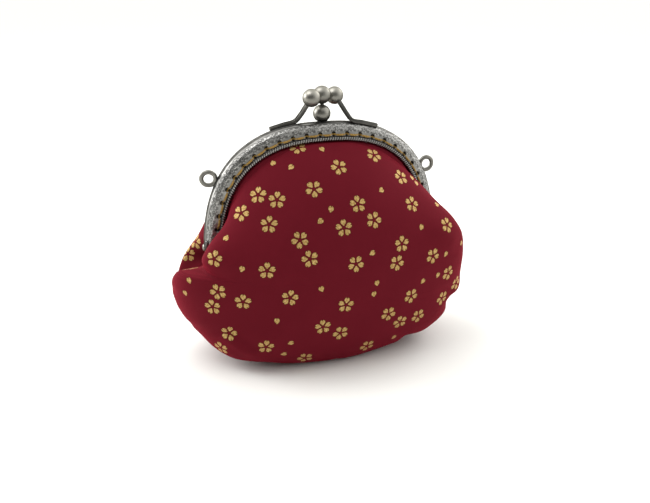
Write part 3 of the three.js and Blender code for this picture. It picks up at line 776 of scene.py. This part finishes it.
def panel_surface(side):
    """Outer face of a panel as a grid: rows from its sewn edge to the middle, columns by clock angle.

    The sewn edge lies in the slot of the frame, or is turned inside along the seam. From there the
    cloth flares out to its widest ring, and a boxy quarter curve carries it to the belly. On the way
    each row's reach, lip and squareness ease to those of one smooth oval dome, and the sharp turns of
    the ring die away sooner than its broad form. Columns crowd where the left lobe starts, and the
    lobe's top falls away to the seam behind it.
    """
    fine = np.linspace(-180, 180, round(360 / CLOCK_STEP) + 1)
    crowd = np.cumsum(1 + LOBE_CROWD * bell(fine - LOBE_TOP, LOBE_CROWD_SPREAD))
    angle = np.interp(np.linspace(crowd[0], crowd[-1], PANEL_TURNS, endpoint=False), crowd, fine)
    clock = np.radians(angle)
    pull = sum(depth * bell(angle - middle, spread) for middle, spread, depth in PUCKERS)
    on_left, on_right = ("left", "right") if side < 0 else ("back_left", "back_right")
    ring_line = np.where(fine < 0, panel_value(on_left, fine), panel_value(on_right, fine))
    blur = bell(CLOCK_STEP * np.arange(-BROAD_STEPS, BROAD_STEPS + 1), BROAD_SPREAD)
    broad = np.convolve(np.pad(ring_line, BROAD_STEPS, "wrap"), blur / blur.sum(), "valid")
    ring_pull = pull if side < 0 else BACK_PULL * pull
    broad = np.interp(angle, fine, broad) - ring_pull
    reach = np.interp(angle, fine, ring_line) - ring_pull
    lip = panel_value("lip", angle)
    seam = smooth(*SEWN_TO, np.abs(angle))
    seam_edge = np.where(angle < 0, panel_value("edge_left", angle), panel_value("edge_right", angle)) - pull
    edge = mixed(rim_radius(angle, TURN_INSET), seam_edge, seam)
    start = mixed(TURN_DEPTH, SEAM_GAP, seam)
    floor_radius = MIDDLE_HEIGHT / np.maximum(-np.cos(clock), 1e-3)
    turned_in = np.minimum(edge, floor_radius) - SEAM_TURN
    end_radius = mixed(rim_radius(angle, TONGUE_INSET), turned_in - SEAM_ALLOWANCE, seam)
    mouth_radius = mixed(rim_radius(angle, MOUTH_INSET), turned_in, seam)
    u = np.linspace(0, 1, TONGUE_ROWS)[:, None]
    tongue_r = mixed(end_radius, mouth_radius, u)
    tongue_d = mixed(TONGUE_DEPTH, ALLOWANCE_DEPTH, seam) + 0 * u
    u = np.linspace(0, 1, FLARE_ROWS, endpoint=False)[:, None]
    flare_d = mixed(start, lip, u)
    fall = (LOBE_FALL if side < 0 else 0) * bell(angle - LOBE_FALL_AT, LOBE_FALL_SPREAD)
    flare_reach = np.interp(angle + fall * (1 - u), fine, ring_line) - ring_pull
    flare_r = mixed(edge, flare_reach, smooth(0, 1, u))
    flare_r = flare_r - seam * SEAM_GROOVE[0] * bell(flare_d, SEAM_GROOVE[1])
    turn = np.linspace(np.pi / 2, 0, BELLY_ROWS)[:, None]
    own = np.sin(turn) ** 2
    oval = 1 / np.hypot(np.sin(clock) / DOME_OVAL[0], np.cos(clock) / DOME_OVAL[1])
    power = 2 / mixed(DOME_SQUARE, panel_value("square", angle), own)
    belly_r = (mixed(oval, broad, own) + (reach - broad) * own ** SHARP_FADE) * np.sin(turn) ** power
    belly_d = mixed(mixed(DOME_LIP, lip, own), BELLY_DEPTH, np.clip(np.cos(turn), 0, 1) ** power)
    r = np.concatenate([tongue_r, flare_r, belly_r])
    depth = np.concatenate([tongue_d, flare_d, belly_d])
    y = side * depth + seam_set(angle) * (1 - depth / BELLY_DEPTH)
    return np.stack([r * np.sin(clock), y, MIDDLE_HEIGHT + r * np.cos(clock)], -1)


def surface_normals(grid, side):
    """Outward normals of a panel's grid, from the cross product of its two directions."""
    around = np.roll(grid, -1, 1) - np.roll(grid, 1, 1)
    down = np.gradient(grid, axis=0)
    normal = unit(np.cross(around, down) * side)
    normal[-1] = (0, side, 0)
    return normal


def fold_height(grid):
    """Sum of soft ridges and valleys: each is a bell across a straight line that fades at its ends."""
    height = np.zeros(grid.shape[:2])
    flat = grid[..., [0, 2]]
    for x0, z0, x1, z1, width, rise in FOLDS:
        start, end = np.array([x0, z0]), np.array([x1, z1])
        length = np.linalg.norm(end - start)
        direction = (end - start) / length
        place = (flat - start) @ direction
        off = (flat - start) @ np.array([-direction[1], direction[0]])
        fade = smooth(-0.5 * width, width, place) * (1 - smooth(0.5 * length, length + width, place))
        height += rise * fade * bell(off, width)
    return height


def seam_gathers(grid, side):
    """Small gathers along the seam: a sum of waves of the clock angle that dies away from the seam."""
    clock = np.arctan2(grid[..., 0], grid[..., 2] - MIDDLE_HEIGHT)
    waves = sum(share * np.sin(count * clock + phase + shift * side)
                for share, count, phase, shift in GATHER_WAVES)
    away = np.exp(-np.abs(grid[..., 1]) / GATHER_REACH) * smooth(*GATHER_START, np.abs(clock))
    return (GATHER_HEIGHT[0] + GATHER_HEIGHT[1] * np.sin(clock)) * waves * away


def panel_form(side):
    """The panel's outer face with its folds, gathers and slight unevenness, flat where it rests."""
    grid = panel_surface(side)
    normal = surface_normals(grid, side)
    x, z = grid[..., 0], grid[..., 2]
    (bump_x, phase_x), (bump_z, phase_z) = UNEVEN_BUMPS
    share, slant_x, slant_z, phase = UNEVEN_SLANT
    uneven = np.sin(x / bump_x + phase_x) * np.sin(z / bump_z + phase_z)
    uneven = uneven + share * np.sin(x / slant_x - z / slant_z + phase + side)
    height = UNEVEN_HEIGHT * uneven * smooth(*UNEVEN_START, np.abs(grid[..., 1]))
    height = height + seam_gathers(grid, side)
    if side < 0:
        height = height + fold_height(grid)
    height[:TONGUE_ROWS + 1] = 0
    grid = grid + height[..., None] * normal
    grid[..., 2] = np.maximum(grid[..., 2], 0)
    return grid


def camera_axes():
    """The camera's right, up and forward directions from its azimuth, drop and roll."""
    forward = np.array([np.sin(CAMERA_AZIMUTH) * np.cos(CAMERA_DROP),
                        np.cos(CAMERA_AZIMUTH) * np.cos(CAMERA_DROP), -np.sin(CAMERA_DROP)])
    level = np.array([np.cos(CAMERA_AZIMUTH), -np.sin(CAMERA_AZIMUTH), 0])
    upright = np.cross(level, forward)
    right = np.cos(CAMERA_ROLL) * level + np.sin(CAMERA_ROLL) * upright
    return right, np.cross(right, forward), forward


def seen_places(chart, points, normals):
    """Where charted pixels fall on a panel: the sight line meets the nearest point's tangent plane."""
    right, up, forward = camera_axes()
    facing = (normals * (points - EYE)).sum(1) < 0
    points, normals = points[facing], normals[facing]
    across, rise, far = (points - EYE) @ right, (points - EYE) @ up, (points - EYE) @ forward
    places = []
    for px, py, turn in chart:
        x, y = px - PHOTO_WIDTH / 2, PHOTO_HEIGHT / 2 - py
        k = np.argmin(np.hypot(FOCAL_PX * across / far - x, FOCAL_PX * rise / far - y) + NEARER_BIAS * far)
        sight = (x * right + y * up) / FOCAL_PX + forward
        place = EYE + ((points[k] - EYE) @ normals[k]) / (sight @ normals[k]) * sight
        if np.linalg.norm(place - points[k]) > MOTIF_SLACK:
            place = points[k]
        places.append(laid(place, normals[k], up, turn))
    return places


def laid(place, normal, up, degrees):
    """A motif's middle, the way its first petal points, turned from upward in the cloth, and the normal."""
    upward = unit(up - (up @ normal) * normal)
    turn = np.radians(degrees)
    return place, np.cos(turn) * upward + np.sin(turn) * np.cross(upward, normal), normal


def nearest_places(wanted, points, normals):
    """Motifs wanted at given places, each set on the nearest point of a panel."""
    nearest = [np.argmin(np.linalg.norm(points - np.array(row[0]), axis=1)) for row in wanted]
    return [laid(points[k], normals[k], *row[1:]) for k, row in zip(nearest, wanted)]


def turned_places(places, points, normals, keep_clear):
    """The same print on the other panel: each place turned half round, where it is clear of others."""
    wanted = [(turned_half(place), turned_half(way), 0) for place, way, _ in places]
    taken = np.array([place for place, _, _ in keep_clear])
    return [row for row in nearest_places(wanted, points, normals)
            if np.linalg.norm(taken - row[0], axis=1).min() > MOTIF_CLEARANCE]


def cloth_panel(name, grid, side, blossoms, petals, material):
    """A cotton panel: its grid as faces with a closed middle, the flat place of each corner in the
    weave, and each corner's place in the motif that lies nearest to its face: its direction in the
    motif's plane and its true distance, so that the print keeps its size where the cloth bends."""
    rows, columns = grid.shape[:2]
    points = np.concatenate([grid[:-1].reshape(-1, 3), grid[-1, :1]])
    body = quads(rows - 1, columns)
    ring = (rows - 2) * columns + np.arange(columns)
    fan = np.stack([ring, np.roll(ring, -1), np.full(columns, len(points) - 1)], 1)
    if side < 0:
        body, fan = body[:, ::-1], fan[:, ::-1]
    piece = add_piece(name, points, [body, fan], material, "printed_cotton", closed=False)
    corner_point = np.concatenate([body.ravel(), fan.ravel()])
    corner_face = np.concatenate([np.repeat(np.arange(len(body)), 4),
                                  np.repeat(len(body) + np.arange(columns), 3)])
    centres = np.concatenate([points[body].mean(1), points[fan].mean(1)])
    places, axes, normals = (np.array(part) for part in zip(*blossoms, *petals))
    nearest = np.argmin(np.linalg.norm(centres[:, None] - places[None], axis=2), axis=1)
    own = nearest[corner_face]
    offset = points[corner_point] - places[own]
    local = np.stack([(offset * axes[own]).sum(1), (offset * np.cross(axes, normals)[own]).sum(1)], 1)
    bend = np.linalg.norm(offset, axis=1) / np.maximum(np.linalg.norm(local, axis=1), MOTIF_CORE)
    local = local * np.clip(bend, 1, MOTIF_BEND)[:, None]
    run = np.linalg.norm(np.diff(grid, axis=0), axis=2)[::-1]
    run = np.concatenate([np.zeros((1, columns)), np.cumsum(run, 0)])[::-1]
    clock = np.arctan2(grid[0, :, 0], grid[0, :, 2] - MIDDLE_HEIGHT)
    weave = np.stack([run * np.sin(clock), run * np.cos(clock)], -1)
    weave = np.concatenate([weave[:-1].reshape(-1, 2), np.zeros((1, 2))])
    mesh = piece.data
    for layer, flat in (("motif_mm", local), ("weave_mm", weave[corner_point])):
        mesh.uv_layers.new(name=layer).data.foreach_set("uv", flat.astype(np.float32).ravel())
    kind = mesh.attributes.new("loose_petal", "FLOAT", "FACE")
    kind.data.foreach_set("value", (nearest >= len(blossoms)).astype(np.float32))
    wall = piece.modifiers.new("cloth_wall", "SOLIDIFY")
    wall.thickness = CLOTH_THICKNESS * MM
    wall.offset = -1
    return piece


def printed_cotton():
    """Plain-weave cotton, dyed deep red and printed with gold pigment.

    The weave gives a dry, slightly uneven matt red that brightens at grazing angles, and the
    pigment lies on it as a paler, smoother film with a thin dark edge round each petal.
    """
    material, tree = new_material("printed_plain_weave_cotton")
    motif = add(tree, "ShaderNodeUVMap", uv_map="motif_mm")
    weave = add(tree, "ShaderNodeUVMap", uv_map="weave_mm")
    place = add(tree, "ShaderNodeSeparateXYZ", {0: motif}).node.outputs
    # Scales of noise are per millimetre: ragged edges of 0.4 mm, flecks of 0.7 mm, mottle of 11 mm.
    ragged = add(tree, "ShaderNodeTexNoise", {"Vector": weave, "Scale": 2.6, "Detail": 2.0}, out="Fac")
    fleck = add(tree, "ShaderNodeTexNoise", {"Vector": weave, "Scale": 1.4, "Detail": 3.0}, out="Fac")
    mottle = add(tree, "ShaderNodeTexNoise", {"Vector": weave, "Scale": 0.09, "Detail": 3.0}, out="Fac")
    value = {
        "motif_x": place[0], "motif_y": place[1], "ragged": ragged,
        "radius": add(tree, "ShaderNodeVectorMath", {0: motif}, operation="LENGTH", out="Value"),
        "loose": add(tree, "ShaderNodeAttribute", attribute_name="loose_petal", out="Fac"),
    }
    for name, operation, *terms in PETAL_STEPS:
        sockets = {k: value[term] if isinstance(term, str) else term for k, term in enumerate(terms)}
        value[name] = add(tree, "ShaderNodeMath", sockets, operation=operation)
    printed = add(tree, "ShaderNodeMapRange", {"Value": value["edge"], "From Min": 0.07, "From Max": -0.07})
    outline = add(tree, "ShaderNodeMapRange", {
        "Value": value["edge"], "From Min": 0.38, "From Max": 0.12, "To Max": 0.5})
    fleck = add(tree, "ShaderNodeMapRange", {"Value": fleck, "From Min": 0.35, "From Max": 0.65})
    # A wave texture turns 20 radians in a unit, so this scale puts one band on each thread.
    thread = {"Vector": weave, "Scale": FULL_TURN / (20 * WEAVE_PITCH), "Distortion": 0.6,
              "Detail Scale": 0.8}
    warp = add(tree, "ShaderNodeTexWave", thread, bands_direction="X", out="Fac")
    weft = add(tree, "ShaderNodeTexWave", thread, bands_direction="Y", out="Fac")
    grain = add(tree, "ShaderNodeMath", {0: warp, 1: weft}, operation="MULTIPLY")
    tint = {}
    for name, share, *pair in (("red", mottle, "#681522", "#751a28"), ("woven", grain, "#5b121d", "red"),
                               ("edged", outline, "woven", "#330d0c"),
                               ("gold", fleck, "#997a42", "#cbae72"), ("colour", printed, "edged", "gold")):
        first, second = (tint[colour] if colour in tint else linear(colour) for colour in pair)
        tint[name] = add(tree, "ShaderNodeMix", {0: share, 6: first, 7: second}, data_type="RGBA", out=2)
    rough = add(tree, "ShaderNodeMapRange", {"Value": printed, "To Min": 0.82, "To Max": 0.5})
    # Gold print holds bronze powder: it takes the bright sides of the room and is duller in front.
    glint = add(tree, "ShaderNodeMath", {0: printed, 1: 0.3}, operation="MULTIPLY")
    film = add(tree, "ShaderNodeMath", {0: glint, 1: grain}, operation="ADD")
    bump = add(tree, "ShaderNodeBump", {"Strength": 0.25, "Distance": 0.0002, "Height": film})
    shader = add(tree, "ShaderNodeBsdfPrincipled", {
        "Base Color": tint["colour"], "Metallic": glint, "Roughness": rough, "Normal": bump,
        "Sheen Weight": 0.36, "Sheen Roughness": 0.45, "Sheen Tint": linear("#d01c3c"),
        "Specular IOR Level": 0.05})
    add(tree, "ShaderNodeOutputMaterial", {"Surface": shader})
    return material


def rubbed(tree, scale, detail, swing):
    """How far the blackening is rubbed off, made cloudy by a noise, and that noise and its place. On the
    balls and the post the value also holds painted light and shade: lighter tops, darker undersides.
    """
    # The worn attribute is wear, and on the balls and the post also painted light and shade.
    worn = add(tree, "ShaderNodeAttribute", attribute_name="worn", out="Fac")
    place = add(tree, "ShaderNodeTexCoord", out="Object")
    cloud = add(tree, "ShaderNodeTexNoise", {"Vector": place, "Scale": scale, "Detail": detail}, out="Fac")
    shift = add(tree, "ShaderNodeMath", {0: cloud, 1: swing, 2: -swing / 2}, operation="MULTIPLY_ADD")
    bright = add(tree, "ShaderNodeMath", {0: worn, 1: shift}, operation="ADD", use_clamp=True)
    return bright, cloud, place


def pressed_silver():
    """Iron strip pressed with an ornament, silver plated and blackened.

    The polish took the black off the high parts, so ridges shine and every recess stays dark. The
    clouds of the blackening are about 4 mm across.
    """
    material, tree = new_material("antique_silver_pressed")
    bright, _, _ = rubbed(tree, 260.0, 4.0, 0.24)
    shade = add(tree, "ShaderNodeValToRGB", {0: bright})
    ramp = shade.node.color_ramp.elements
    ramp[0].position, ramp[0].color = 0.15, linear("#34322f")
    ramp[1].position, ramp[1].color = 0.85, linear("#bfbebb")
    ramp.new(0.52).color = linear("#6d6c6a")
    rough = add(tree, "ShaderNodeMapRange", {
        "Value": bright, "From Min": 0.1, "From Max": 0.9, "To Min": 0.5, "To Max": 0.24})
    shader = add(tree, "ShaderNodeBsdfPrincipled", {
        "Base Color": shade, "Roughness": rough, "Metallic": 1.0, "Specular Tint": linear("#6a6864")})
    add(tree, "ShaderNodeOutputMaterial", {"Surface": shader})
    return material


def satin_silver():
    """Cast and tumbled metal with antique silver plate: satin and grey.

    Rounded parts are rubbed lighter, and the blackening stays on edges and in joints. The balls and the
    post are also painted lighter on top and darker below: painted light and shade. Its clouds are about
    7 mm across, and the grit of the tumbling is 0.4 mm.
    """
    material, tree = new_material("antique_silver_satin")
    bright, cloud, place = rubbed(tree, 150.0, 5.0, 0.4)
    tone = add(tree, "ShaderNodeMix", {0: bright, 6: linear("#242425"), 7: linear("#b4b1a8")},
               data_type="RGBA", out=2)
    rough = add(tree, "ShaderNodeMapRange", {
        "Value": cloud, "From Min": 0.3, "From Max": 0.7, "To Min": 0.34, "To Max": 0.44})
    grit = add(tree, "ShaderNodeTexNoise", {"Vector": place, "Scale": 2500.0, "Detail": 2.0}, out="Fac")
    bump = add(tree, "ShaderNodeBump", {"Strength": 0.12, "Distance": 0.0001, "Height": grit})
    shader = add(tree, "ShaderNodeBsdfPrincipled", {
        "Base Color": tone, "Roughness": rough, "Normal": bump, "Metallic": 1.0,
        "Specular Tint": linear("#5a5854")})
    add(tree, "ShaderNodeOutputMaterial", {"Surface": shader})
    return material


def ochre_thread():
    """Waxed cotton sewing thread, ochre yellow: two twisted plies with a soft shine.

    Its fibres show as light and dark flecks about 0.6 mm long.
    """
    material, tree = new_material("ochre_cotton_thread")
    place = add(tree, "ShaderNodeTexCoord", out="Object")
    fibre = add(tree, "ShaderNodeTexNoise", {"Vector": place, "Scale": 1800.0, "Detail": 3.0}, out="Fac")
    tone = add(tree, "ShaderNodeMix", {0: fibre, 6: linear("#725417"), 7: linear("#b0892f")},
               data_type="RGBA", out=2)
    shader = add(tree, "ShaderNodeBsdfPrincipled", {
        "Base Color": tone, "Roughness": 0.6, "Sheen Weight": 0.2})
    add(tree, "ShaderNodeOutputMaterial", {"Surface": shader})
    return material


def white_paper():
    """Matt white paper under the purse."""
    material, tree = new_material("matt_white_paper")
    shader = add(tree, "ShaderNodeBsdfPrincipled", {"Base Color": linear("#eaeae7"), "Roughness": 0.9})
    add(tree, "ShaderNodeOutputMaterial", {"Surface": shader})
    return material


def keep_wear_and_shade(piece, worn):
    """Keep on each point of a metal piece how far its blackening is rubbed off, from 0 to 1, and any
    painted light and shade given with it, such as a ball's lighter top and darker underside.
    """
    values = np.full(len(piece.data.vertices), worn, np.float32)
    piece.data.attributes.new("worn", "FLOAT", "POINT").data.foreach_set("value", values)


def build_frame():
    """Both halves of the frame with their clasp, loops, rivets and stitches."""
    pressed, satin, thread = pressed_silver(), satin_silver(), ochre_thread()
    half, worn = channel_half()
    ears = joined([ear(-1, EAR_OUTER_FACE), ear(1, EAR_INNER_FACE)])
    half_points, half_blocks = joined([half, ears])
    worn = np.concatenate([worn, np.full(len(ears[0]), EAR_WORN)])
    for name, node, points in (("front_frame_half", "front_frame", half_points),
                               ("back_frame_half", "back_frame", turned_half(half_points))):
        piece = add_piece(name, points, half_blocks, pressed, "antique_silver")
        keep_wear_and_shade(piece, worn)
        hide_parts(node)
    for name, stations in (("left_clasp_arm", LEFT_ARM), ("right_clasp_arm", RIGHT_ARM)):
        shape = clasp_arm(stations)
        piece = add_piece(name, *shape, satin, "antique_silver")
        off = (shape[0] - np.array(stations[-1])) / BALL_RADIUS
        on_ball = np.linalg.norm(off, axis=1) < BALL_SKIN
        # Painted light and shade: a ball's top is lighter and its underside darker, over its worn tone.
        keep_wear_and_shade(piece, np.where(on_ball, BALL_WEAR_AND_SHADE[0] + BALL_WEAR_AND_SHADE[1] * off[:, 2], ARM_WORN))
    shape = clasp_post()
    height = shape[0][:, 2]
    middle = np.where(height > (LOWER_BALL_Z + UPPER_BALL_Z) / 2, UPPER_BALL_Z, LOWER_BALL_Z)
    piece = add_piece("clasp_post", *shape, satin, "antique_silver")
    # Painted light and shade: each ball of the post is lighter on top and darker below, and the stem under
    # the lower ball is as dark as a ball's underside.
    keep_wear_and_shade(piece, POST_WEAR_AND_SHADE[0] + POST_WEAR_AND_SHADE[1] * np.clip((height - middle) / BALL_RADIUS, -1, 1))
    for name, place in LOOPS.items():
        shape, worn = side_loop(*place)
        keep_wear_and_shade(add_piece(name, *shape, satin, "antique_silver"), worn)
    for side, name in ((-1, "left_hinge_rivet"), (1, "right_hinge_rivet")):
        piece = add_piece(name + "_head", *rivet(side), satin, "antique_silver")
        keep_wear_and_shade(piece, RIVET_WORN)
        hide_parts(name)
    stitches, blocks = sewing_thread()
    add_piece("front_stitches", stitches, blocks, thread, "printed_cotton")
    add_piece("back_stitches", turned_half(stitches), blocks, thread, "printed_cotton")


def build_pouch():
    """Both cotton panels with their print."""
    cotton = printed_cotton()
    front, back = panel_form(-1), panel_form(1)
    on_front, on_back = ((grid.reshape(-1, 3), surface_normals(grid, side).reshape(-1, 3))
                         for grid, side in ((front, -1), (back, 1)))
    blossoms, petals = (seen_places(chart, *on_front) for chart in (BLOSSOMS, LOOSE_PETALS))
    beside_hinge = seen_places(BACK_BLOSSOMS, *on_back)
    back_print = (beside_hinge + turned_places(blossoms, *on_back, beside_hinge),
                  turned_places(petals, *on_back, beside_hinge))
    front_print = (blossoms + nearest_places(SIDE_BLOSSOMS, *on_front),
                   petals + nearest_places(SIDE_PETALS, *on_front))
    for half, grid, side, motifs in (("front", front, -1, front_print), ("back", back, 1, back_print)):
        piece = cloth_panel("printed_" + half + "_panel", grid, side, *motifs, cotton)
        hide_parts(half + "_panel")


def build_stage():
    """Pale floor, soft light from above and from the sides, and the camera of the photograph."""
    scene = bpy.context.scene
    corners = [(x * FLOOR_HALF, y * FLOOR_HALF, 0) for x, y in ((-1, -1), (1, -1), (1, 1), (-1, 1))]
    mesh = bpy.data.meshes.new("floor")
    mesh.from_pydata(corners, [], [(0, 1, 2, 3)])
    mesh.materials.append(white_paper())
    placed("floor", mesh)

    world = bpy.data.worlds.new("light_tent")
    world.use_nodes = True
    tree = world.node_tree
    tree.nodes.clear()
    direction = add(tree, "ShaderNodeTexCoord", out="Generated")
    right, up, forward = camera_axes()
    level = add(tree, "ShaderNodeVectorMath", {0: direction, 1: (1, 1, 0)}, operation="MULTIPLY")
    level = add(tree, "ShaderNodeVectorMath", {0: level}, operation="NORMALIZE")
    opening = (-np.sin(TENT_HEADING), -np.cos(TENT_HEADING), 0)
    toward = add(tree, "ShaderNodeVectorMath", {0: level, 1: opening},
                 operation="DOT_PRODUCT", out="Value")
    height = add(tree, "ShaderNodeSeparateXYZ", {0: direction}, out=2)
    side = add(tree, "ShaderNodeMapRange", {
        "Value": toward, "From Min": TENT_WALLS[0], "From Max": TENT_WALLS[1], "To Min": TENT_SIDE,
        "To Max": TENT_OPENING})
    top = add(tree, "ShaderNodeMapRange", {
        "Value": height, "From Min": TENT_CROWN[0], "From Max": TENT_CROWN[1]})
    strength = add(tree, "ShaderNodeMix", {0: top, 2: side, 3: TENT_TOP})
    sky = add(tree, "ShaderNodeBackground", {0: linear("#fdfdfa"), 1: strength})
    add(tree, "ShaderNodeOutputWorld", {0: sky})
    scene.world = world

    for name, (place, size, power) in SOFTBOXES.items():
        light = bpy.data.lights.new(name, "AREA")
        light.shape = "DISK"
        light.size = size
        light.energy = power
        lamp = placed(name, light)
        lamp.location = place
        lamp.rotation_euler = (Vector(place) - Vector(SOFTBOX_AIM)).to_track_quat("Z", "Y").to_euler()

    lens = bpy.data.cameras.new("camera")
    lens.sensor_width = SENSOR_WIDTH
    lens.lens = FOCAL_PX * SENSOR_WIDTH / PHOTO_WIDTH
    lens.clip_start = 0.01
    camera = placed("camera", lens)
    turn = np.eye(4)
    turn[:3, 0], turn[:3, 1], turn[:3, 2] = right, up, -forward
    turn[:3, 3] = EYE * MM
    camera.matrix_world = Matrix(turn.tolist())
    scene.camera = camera
    scene.view_settings.view_transform = "Standard"


build_frame()
build_pouch()
build_stage()
bpy.context.view_layer.update()
